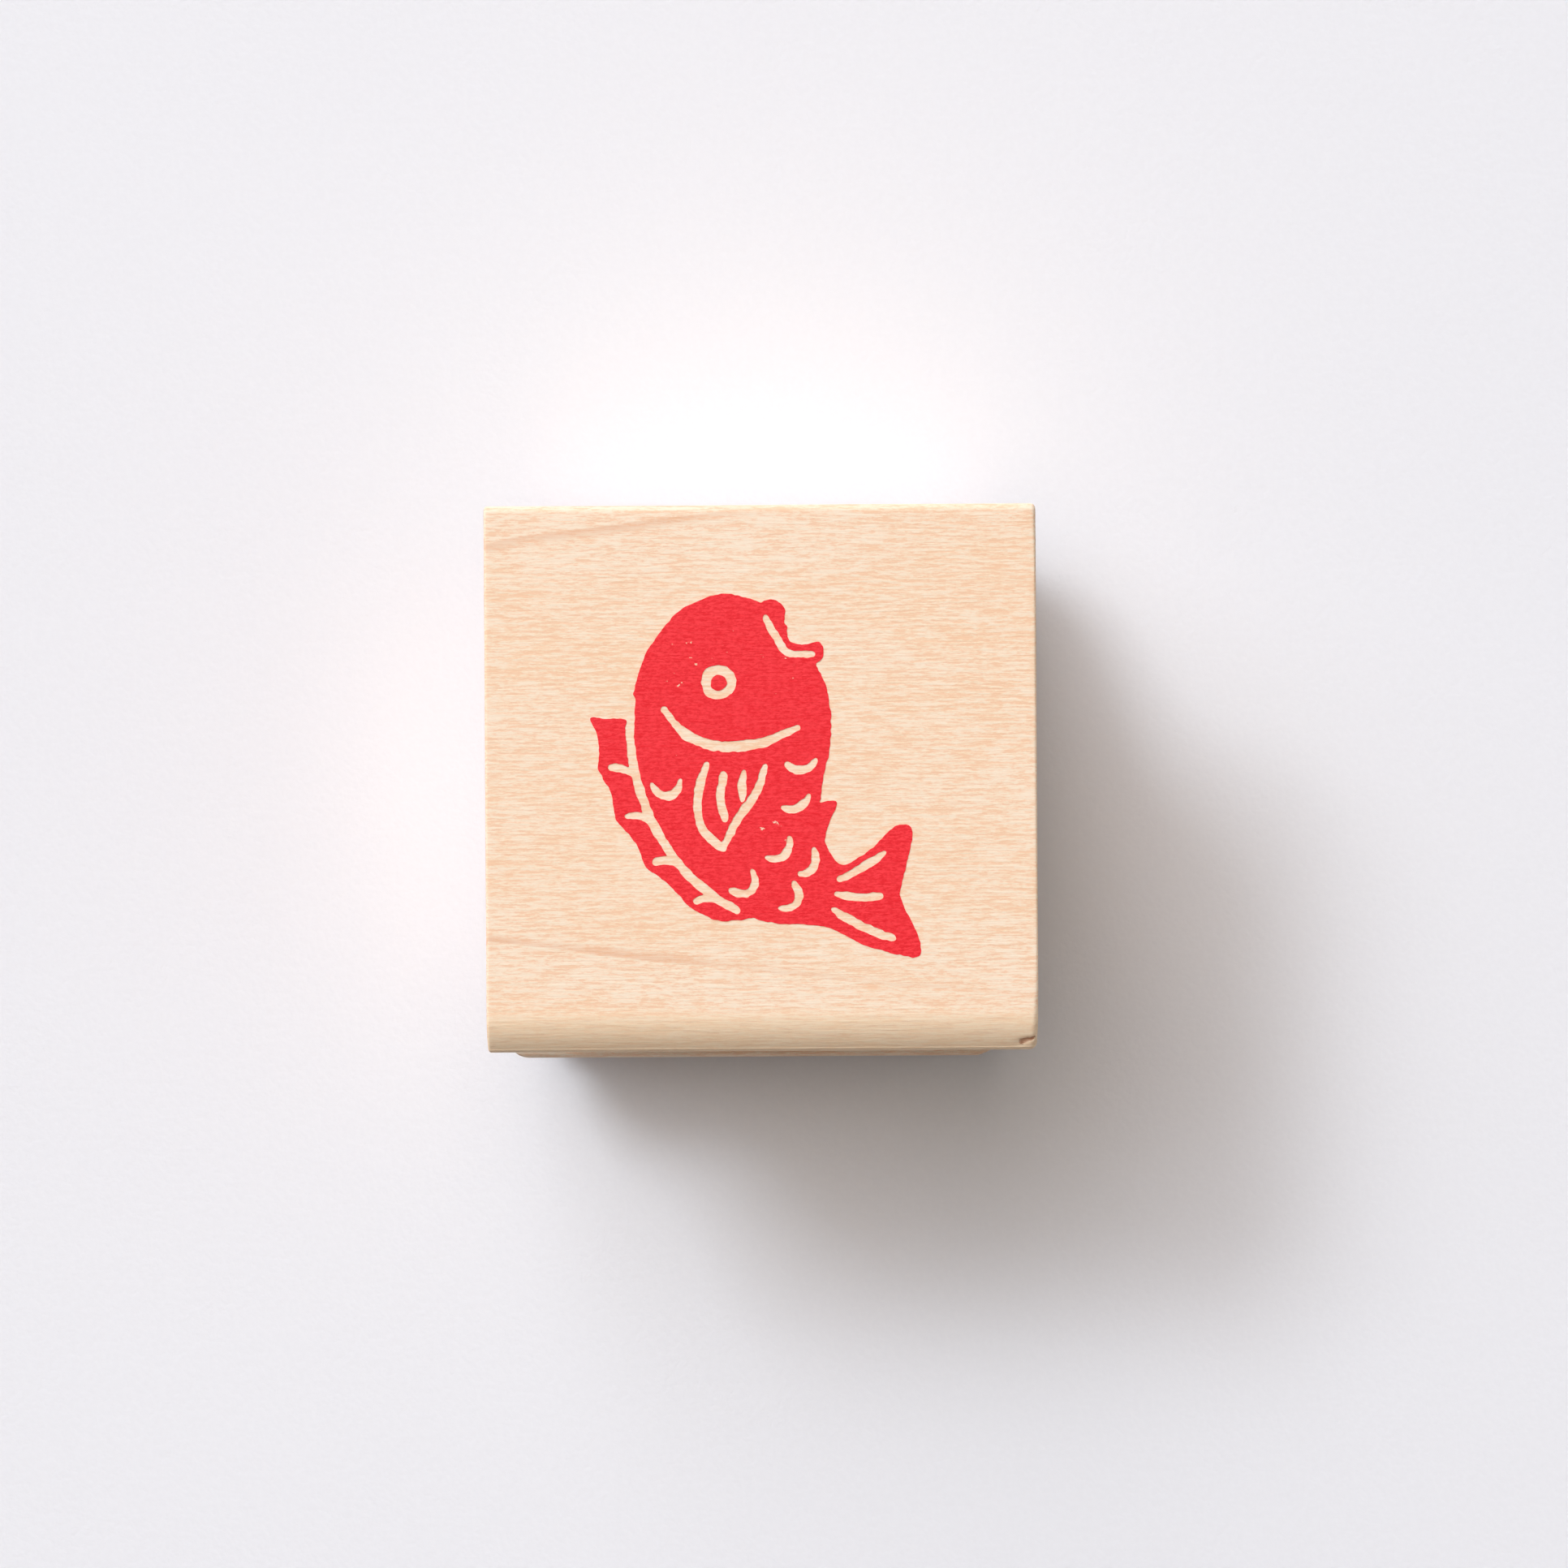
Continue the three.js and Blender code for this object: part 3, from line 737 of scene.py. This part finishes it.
def group_maple_figure():
    """What the maple does under any finish: growth lines, broad clouds, short flecks along the grain
    and the height of its raised fibres.

    The growth lines are rings round an axis far below the block, tipped so that each line drifts
    towards the block's edge, which is why only one ring shows on the flat of the top.
    """
    outputs = ("Line", "Cloud", "Fleck", "Height")
    group, tree, given, result = new_group("Maple Figure", {"Vector": "NodeSocketVector"}, outputs)
    vector = given.outputs["Vector"]
    split = tree.put("ShaderNodeSeparateXYZ", Vector=vector).outputs
    across = tree.math("SUBTRACT", split["Y"], 2.4 * MM)
    up = tree.math("ADD", split["Z"], 30.0 * MM)
    squares = tree.math("ADD", tree.math("POWER", across, 2.0), tree.math("POWER", up, 2.0))
    radius = tree.math("SQRT", squares)
    tipped = tree.math("SUBTRACT", radius, tree.math("MULTIPLY", split["X"], 0.03))
    drift = tree.math("MULTIPLY", tree.noise(vector, (40, 160, 160), detail=3.0), 0.5 * MM)
    turns = tree.math("DIVIDE", tree.math("ADD", tipped, drift), 3.1 * MM)
    phase = tree.math("FRACT", tree.math("ADD", turns, 0.672))
    late = tree.between(phase, 0.93, 0.98)
    line = tree.math("MULTIPLY", late, tree.between(phase, 0.982, 0.994, 1.0, 0.0))
    fading = tree.between(split["X"], -15 * MM, 6 * MM, 1.0, 0.2)
    patchy = tree.between(tree.noise(vector, (120, 900, 900), detail=3.0), 0.35, 0.65, 0.45, 1.0)
    tree.feed(result.inputs["Line"], tree.math("MULTIPLY", tree.math("MULTIPLY", line, patchy), fading))

    cloud = tree.noise(vector, (38, 150, 150), detail=3.0, roughness=0.55)
    tree.feed(result.inputs["Cloud"], tree.between(cloud, 0.32, 0.68))

    long_fleck = tree.noise(vector, (500, 5600, 5600), detail=3.0, roughness=0.62)
    short_fleck = tree.noise(vector, (2000, 9000, 9000), detail=3.0, roughness=0.7)
    fleck = tree.math("MULTIPLY", tree.math("ADD", long_fleck, short_fleck), 0.5)
    tree.feed(result.inputs["Fleck"], tree.between(fleck, 0.40, 0.60))
    fibre = tree.noise(vector, (420, 8200, 8200), detail=3.0, roughness=0.65)
    tree.feed(result.inputs["Height"], tree.math("ADD", tree.math("MULTIPLY", fleck, 0.7), fibre))
    return group


def group_fine_grit():
    """An even grit with broad unevenness, for rubber, foam, glue and paper: Grain in metres is the
    size of one grain."""
    inputs = {"Vector": "NodeSocketVector", "Grain": "NodeSocketFloat"}
    group, tree, given, result = new_group("Fine Grit", inputs, ("Speckle", "Broad", "Height"))
    scaled = tree.put("ShaderNodeVectorMath", {"operation": "SCALE"})
    tree.feed(scaled.inputs[0], given.outputs["Vector"])
    tree.feed(scaled.inputs["Scale"], tree.math("DIVIDE", 1.0, given.outputs["Grain"]))
    fine = tree.noise(scaled.outputs[0], (1, 1, 1), detail=3.0, roughness=0.6)
    broad = tree.noise(scaled.outputs[0], (0.06, 0.06, 0.06), detail=3.0, roughness=0.55)
    tree.feed(result.inputs["Speckle"], tree.between(fine, 0.3, 0.7))
    tree.feed(result.inputs["Broad"], tree.between(broad, 0.3, 0.7))
    tree.feed(result.inputs["Height"], fine)
    return group


# ---------- materials


def maple_colour(tree, figure, colours):
    """The maple's colour from its figure: pale and warm clouds, flecks and threads, then growth lines."""
    ground = tree.mix(figure["Cloud"], opaque(colours.maple_pale), opaque(colours.maple_warm))
    flecks = tree.between(figure["Fleck"], 0.5, 1.0, 0.0, 0.62)
    threads = tree.between(figure["Fleck"], 0.0, 0.5, 0.66, 0.0)
    lines = tree.math("MULTIPLY", figure["Line"], 0.85)
    flecked = tree.mix(flecks, ground, opaque(colours.maple_fleck))
    threaded = tree.mix(threads, flecked, opaque(colours.maple_thread))
    return tree.mix(lines, threaded, opaque(colours.maple_line))


def maple_material(colours):
    """Sanded, unvarnished maple: darker and more open on the sawn ends, warmer with raised fibres
    along the eased edge, and torn brown in the chip, with painted shade of its hollow."""
    material, tree, shader, place = new_material("maple_sanded")
    figure = use_group(tree, "Maple Figure", Vector=place)
    side_colour = maple_colour(tree, figure, colours)

    split = tree.put("ShaderNodeSeparateXYZ", Vector=place).outputs
    from_end = tree.math("SUBTRACT", float(BLOCK_HIGH[0]), tree.math("ABSOLUTE", split["X"]))
    top = float(BLOCK_HIGH[2])
    near_top = tree.between(split["Z"], top - 3 * MM, top - 1.6 * MM)
    end_grain = tree.between(from_end, 0.004 * MM, 0.03 * MM, 1.0, 0.0)
    pores = tree.noise(place, (900, 5200, 5200), detail=3.0, roughness=0.7)
    saw = tree.noise(place, (1, 600, 5200), detail=2.0)
    open_pores = tree.between(pores, 0.50, 0.72, 0.0, 0.6)
    end_ground = tree.mix(0.35, side_colour, opaque(colours.maple_line))
    end_colour = tree.mix(open_pores, end_ground, opaque(colours.maple_line, 0.7))
    near_front = tree.between(split["Y"], -15.6 * MM, -14.3 * MM, 1.0, 0.0)
    eased = tree.math("MULTIPLY", near_front, near_top)
    streaks = tree.noise(place, (480, 6400, 6400), detail=4.0, roughness=0.7)
    fibres = tree.between(streaks, 0.52, 0.66, 0.0, 0.28)
    warmed = tree.mix(tree.math("MULTIPLY", eased, 0.6), side_colour, opaque(colours.maple_eased))
    raised = tree.mix(tree.math("MULTIPLY", eased, fibres), warmed, opaque(colours.maple_line, 0.85))
    grained = tree.mix(end_grain, raised, end_colour)

    chip = tree.put("ShaderNodeAttribute", {"attribute_name": "chip"}).outputs["Fac"]
    flecked = tree.between(figure["Fleck"], 0.0, 1.0, 1.0, 0.7)
    # Painted shade: the chip's brown is torn grain plus the shade of its shallow hollow.
    torn = tree.math("MULTIPLY", tree.between(chip, 0.1, 0.6), flecked)
    tree.feed(shader.inputs["Base Color"], tree.mix(torn, grained, opaque(colours.chip_maple_and_shade)))

    tree.feed(shader.inputs["Roughness"], tree.between(figure["Fleck"], 0.0, 1.0, 0.56, 0.68))
    shader.inputs["Specular IOR Level"].default_value = 0.35
    ends = tree.math("MULTIPLY", tree.math("ADD", saw, tree.math("MULTIPLY", pores, -1.2)), end_grain)
    long_side = tree.math("MULTIPLY", figure["Height"], tree.math("SUBTRACT", 1.0, end_grain))
    tree.feed(shader.inputs["Normal"], tree.bump(tree.math("ADD", ends, long_side), 0.022 * MM))
    return material


def ink_material(colours):
    """Stamped ink on bare wood: it follows the flecks, and misses a few spots."""
    material, tree, shader, place = new_material("ink_stamped")
    figure = use_group(tree, "Maple Figure", Vector=place)
    grain = tree.noise(place, (2400, 6500, 6500), detail=3.0, roughness=0.75)
    broad = tree.between(figure["Fleck"], 0.1, 0.9, 0.0, 0.25)
    depth = tree.math("ADD", broad, tree.between(grain, 0.42, 0.58, 0.0, 0.65))
    red = tree.mix(depth, opaque(colours.ink), opaque(colours.ink_deep))
    specks = tree.noise(place, (1300, 2300, 2300), detail=3.0, roughness=0.7)
    thin = tree.noise(place, (160, 200, 200), detail=2.0)
    reach = tree.between(thin, 0.52, 0.72, 0.78, 0.62)
    missed = tree.between(tree.math("SUBTRACT", specks, reach), 0.0, 0.05, 0.0, 0.85)
    bare = maple_colour(tree, figure, colours)
    tree.feed(shader.inputs["Base Color"], tree.mix(missed, red, bare))
    tree.feed(shader.inputs["Roughness"], tree.between(figure["Fleck"], 0.0, 1.0, 0.5, 0.64))
    shader.inputs["Specular IOR Level"].default_value = 0.3
    tree.feed(shader.inputs["Normal"], tree.bump(figure["Height"], 0.02 * MM))
    return material


def foam_material(colours):
    """Pale cellular foam, speckled darker, with painted shade in its open cells: each cell darker at its
    middle than at its rim.
    """
    material, tree, shader, place = new_material("foam_cellular")
    grit = use_group(tree, "Fine Grit", Vector=place, Grain=0.16 * MM)
    cells = tree.put("ShaderNodeTexVoronoi", {"feature": "F1"}, Vector=place, Scale=3600.0)
    wall = tree.between(cells.outputs["Distance"], 0.15, 0.6)
    deep = toned(tree, tree.between(grit["Speckle"], 0.0, 1.0, 0.0, 0.3), colours.foam, 0.7)
    # Painted shade: cell rims are lifted to 1.08 brightness, so each cell's middle reads as a shaded
    # hollow.
    shaded_cells = tree.mix(tree.math("MULTIPLY", wall, 0.12), deep, opaque(colours.foam, 1.08))
    tree.feed(shader.inputs["Base Color"], shaded_cells)
    tree.feed(shader.inputs["Roughness"], tree.between(grit["Broad"], 0.0, 1.0, 0.82, 0.92))
    shader.inputs["Specular IOR Level"].default_value = 0.25
    tree.feed(shader.inputs["Normal"], tree.bump(tree.math("ADD", wall, grit["Height"]), 0.05 * MM))
    return material


def adhesive_material(colours):
    """Amber transfer film, a little uneven along its cut edge."""
    material, tree, shader, place = new_material("adhesive_film")
    grit = use_group(tree, "Fine Grit", Vector=place, Grain=0.25 * MM)
    shade = tree.between(grit["Broad"], 0.0, 1.0, 0.0, 0.4)
    tree.feed(shader.inputs["Base Color"], toned(tree, shade, colours.adhesive, 0.75))
    tree.feed(shader.inputs["Roughness"], tree.between(grit["Speckle"], 0.0, 1.0, 0.28, 0.45))
    tree.feed(shader.inputs["Normal"], tree.bump(grit["Height"], 0.02 * MM))
    return material


def rubber_material(colours):
    """Moulded rubber with a dusty bloom, stained by ink on the printing face."""
    material, tree, shader, place = new_material("rubber_engraved")
    grit = use_group(tree, "Fine Grit", Vector=place, Grain=0.12 * MM)
    bloom = tree.between(grit["Broad"], 0.0, 1.0, 0.0, 0.22)
    body = toned(tree, bloom, colours.rubber, 1.25)
    split = tree.put("ShaderNodeSeparateXYZ", Vector=place).outputs
    face = tree.between(split["Z"], 0.03 * MM, 0.22 * MM, 1.0, 0.0)
    soaked = tree.math("MULTIPLY", face, tree.between(grit["Broad"], 0.0, 1.0, 0.95, 0.7))
    tree.feed(shader.inputs["Base Color"], tree.mix(soaked, body, opaque(colours.rubber_inked)))
    tree.feed(shader.inputs["Roughness"], tree.between(grit["Speckle"], 0.0, 1.0, 0.55, 0.72))
    tree.feed(shader.inputs["Normal"], tree.bump(grit["Height"], 0.02 * MM))
    return material


def paper_material(colours):
    """Uncoated paper with a faint tooth."""
    material, tree, shader, place = new_material("paper")
    grit = use_group(tree, "Fine Grit", Vector=place, Grain=0.5 * MM)
    shade = tree.between(grit["Speckle"], 0.0, 1.0, 0.0, 0.05)
    tree.feed(shader.inputs["Base Color"], toned(tree, shade, colours.paper, 0.8))
    shader.inputs["Roughness"].default_value = 0.9
    shader.inputs["Specular IOR Level"].default_value = 0.1
    tree.feed(shader.inputs["Normal"], tree.bump(grit["Height"], 0.04 * MM))
    return material


def dress(piece, material):
    """Gives a piece one material."""
    piece.data.materials.clear()
    piece.data.materials.append(material)


# ---------- operators


class StampOperator:
    """What the operators of this file share."""

    bl_options = {"REGISTER", "UNDO"}

    def execute(self, context):
        self.build(context.scene.stamp_sizes, context.scene.stamp_colours)
        return {"FINISHED"}


class STAMP_OT_shared_effects(StampOperator, bpy.types.Operator):
    """Make the node groups that several materials use"""

    bl_idname = "stamp.shared_effects"
    bl_label = "Shared Effects"

    def build(self, sizes, colours):
        group_maple_figure()
        group_fine_grit()


class STAMP_OT_handle_block(StampOperator, bpy.types.Operator):
    """Build the maple handle block"""

    bl_idname = "stamp.handle_block"
    bl_label = "Handle Block"

    def build(self, sizes, colours):
        block = build_handle_block(sizes)
        dress(block, maple_material(colours))
        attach(block, "mount")
        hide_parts("handle_block")


class STAMP_OT_index_print(StampOperator, bpy.types.Operator):
    """Build the inked fish on the block's top"""

    bl_idname = "stamp.index_print"
    bl_label = "Index Print"

    def build(self, sizes, colours):
        print_film = build_index_print(sizes)
        dress(print_film, ink_material(colours))
        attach(print_film, "mount")
        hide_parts("index_print_fish", "index_print_pupil")


class STAMP_OT_cushion(StampOperator, bpy.types.Operator):
    """Build the foam cushion"""

    bl_idname = "stamp.cushion"
    bl_label = "Foam Cushion"

    def build(self, sizes, colours):
        cushion = build_cushion(sizes)
        dress(cushion, foam_material(colours))
        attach(cushion, "die")
        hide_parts("cushion_foam")
        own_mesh(cushion)


class STAMP_OT_rubber_die(StampOperator, bpy.types.Operator):
    """Build the engraved rubber die"""

    bl_idname = "stamp.rubber_die"
    bl_label = "Rubber Die"

    def build(self, sizes, colours):
        die = build_rubber_die(sizes)
        dress(die, rubber_material(colours))
        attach(die, "die")
        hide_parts("rubber_die")


class STAMP_OT_adhesive_films(StampOperator, bpy.types.Operator):
    """Give the two adhesive films their material"""

    bl_idname = "stamp.adhesive_films"
    bl_label = "Adhesive Films"

    def build(self, sizes, colours):
        film = adhesive_material(colours)
        for name in ("die_adhesive_film", "mount_adhesive_film"):
            dress(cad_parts[name], film)


class STAMP_OT_studio(StampOperator, bpy.types.Operator):
    """Set up the paper, the lights and the camera"""

    bl_idname = "stamp.studio"
    bl_label = "Studio"

    def build(self, sizes, colours):
        corners = [(-3, -3, 0), (3, -3, 0), (3, 3, 0), (-3, 3, 0)]
        paper = mesh_object("paper_ground", corners, [(0, 1, 2, 3)])
        dress(paper, paper_material(colours))
        for softbox in SOFTBOXES:
            add_softbox(*softbox)
        add_camera()


# Softboxes, from the back left unless said: a bright window, a wide soft one round it, a tall panel
# that reaches overhead, and a weak one from the right. Azimuth 0 is +X and 90 is +Y, in degrees.
# Each is its name, azimuth, elevation, width and height in metres, power in watts, and tint.
SOFTBOXES = (
    ("window", 135, 37.5, 2.1, 1.27, 165, (0.82, 0.9, 1.0)),
    ("wide", 132, 42, 7.0, 3.2, 172, (0.76, 0.85, 1.0)),
    ("panel", 121, 57, 6.3, 12, 390, (1.0, 0.89, 0.83)),
    ("right", 0, 35, 6.0, 4.0, 35, (0.9, 1.0, 0.95)),
)
SOFTBOX_DISTANCE = 6.0


def add_softbox(name, azimuth, elevation, width, height, power, tint):
    """A rectangular softbox that faces the stamp."""
    light = bpy.data.lights.new(name, "AREA")
    light.shape = "RECTANGLE"
    light.size = width
    light.size_y = height
    light.energy = power
    light.color = tint
    lamp = bpy.data.objects.new(name, light)
    turn, rise = math.radians(azimuth), math.radians(elevation)
    towards = Vector((math.cos(rise) * math.cos(turn), math.cos(rise) * math.sin(turn), math.sin(rise)))
    lamp.location = towards * SOFTBOX_DISTANCE
    lamp.rotation_euler = towards.to_track_quat("Z", "Y").to_euler()
    bpy.context.scene.collection.objects.link(lamp)


def add_camera():
    """A camera straight above the stamp, a little forward of its middle, with a small roll."""
    above_top = 170 * MM
    frame_width = 99.3 * MM
    camera = bpy.data.cameras.new("overhead")
    camera.sensor_width = 36
    camera.lens = camera.sensor_width * above_top / frame_width
    camera.clip_start = 0.005
    camera.shift_x = 0.0095
    camera.shift_y = 0.0146
    holder = bpy.data.objects.new("overhead", camera)
    holder.location = (0.5 * MM, -1.8 * MM, BLOCK_HIGH[2] + above_top)
    holder.rotation_euler = (0, 0, math.radians(-0.35))
    bpy.context.scene.collection.objects.link(holder)
    bpy.context.scene.camera = holder
    bpy.context.scene.view_settings.view_transform = "Standard"


class STAMP_PT_panel(bpy.types.Panel):
    """The stamp's sizes, colours and pieces"""

    bl_label = "Rubber Stamp"
    bl_idname = "STAMP_PT_panel"
    bl_space_type = "VIEW_3D"
    bl_region_type = "UI"
    bl_category = "Stamp"

    def draw(self, context):
        for settings in (context.scene.stamp_sizes, context.scene.stamp_colours):
            box = self.layout.box()
            for name in settings.__annotations__:
                box.prop(settings, name)
        for operator in OPERATORS:
            self.layout.operator(operator.bl_idname)


OPERATORS = (
    STAMP_OT_shared_effects,
    STAMP_OT_rubber_die,
    STAMP_OT_cushion,
    STAMP_OT_adhesive_films,
    STAMP_OT_handle_block,
    STAMP_OT_index_print,
    STAMP_OT_studio,
)
CLASSES = (StampSizes, StampColours, *OPERATORS, STAMP_PT_panel)


def register():
    for cls in CLASSES:
        bpy.utils.register_class(cls)
    bpy.types.Scene.stamp_sizes = PointerProperty(type=StampSizes)
    bpy.types.Scene.stamp_colours = PointerProperty(type=StampColours)


def unregister():
    del bpy.types.Scene.stamp_colours
    del bpy.types.Scene.stamp_sizes
    for cls in reversed(CLASSES):
        bpy.utils.unregister_class(cls)


def main():
    register()
    for operator in OPERATORS:
        group, name = operator.bl_idname.split(".")
        getattr(getattr(bpy.ops, group), name)()


if __name__ == "__main__":
    main()
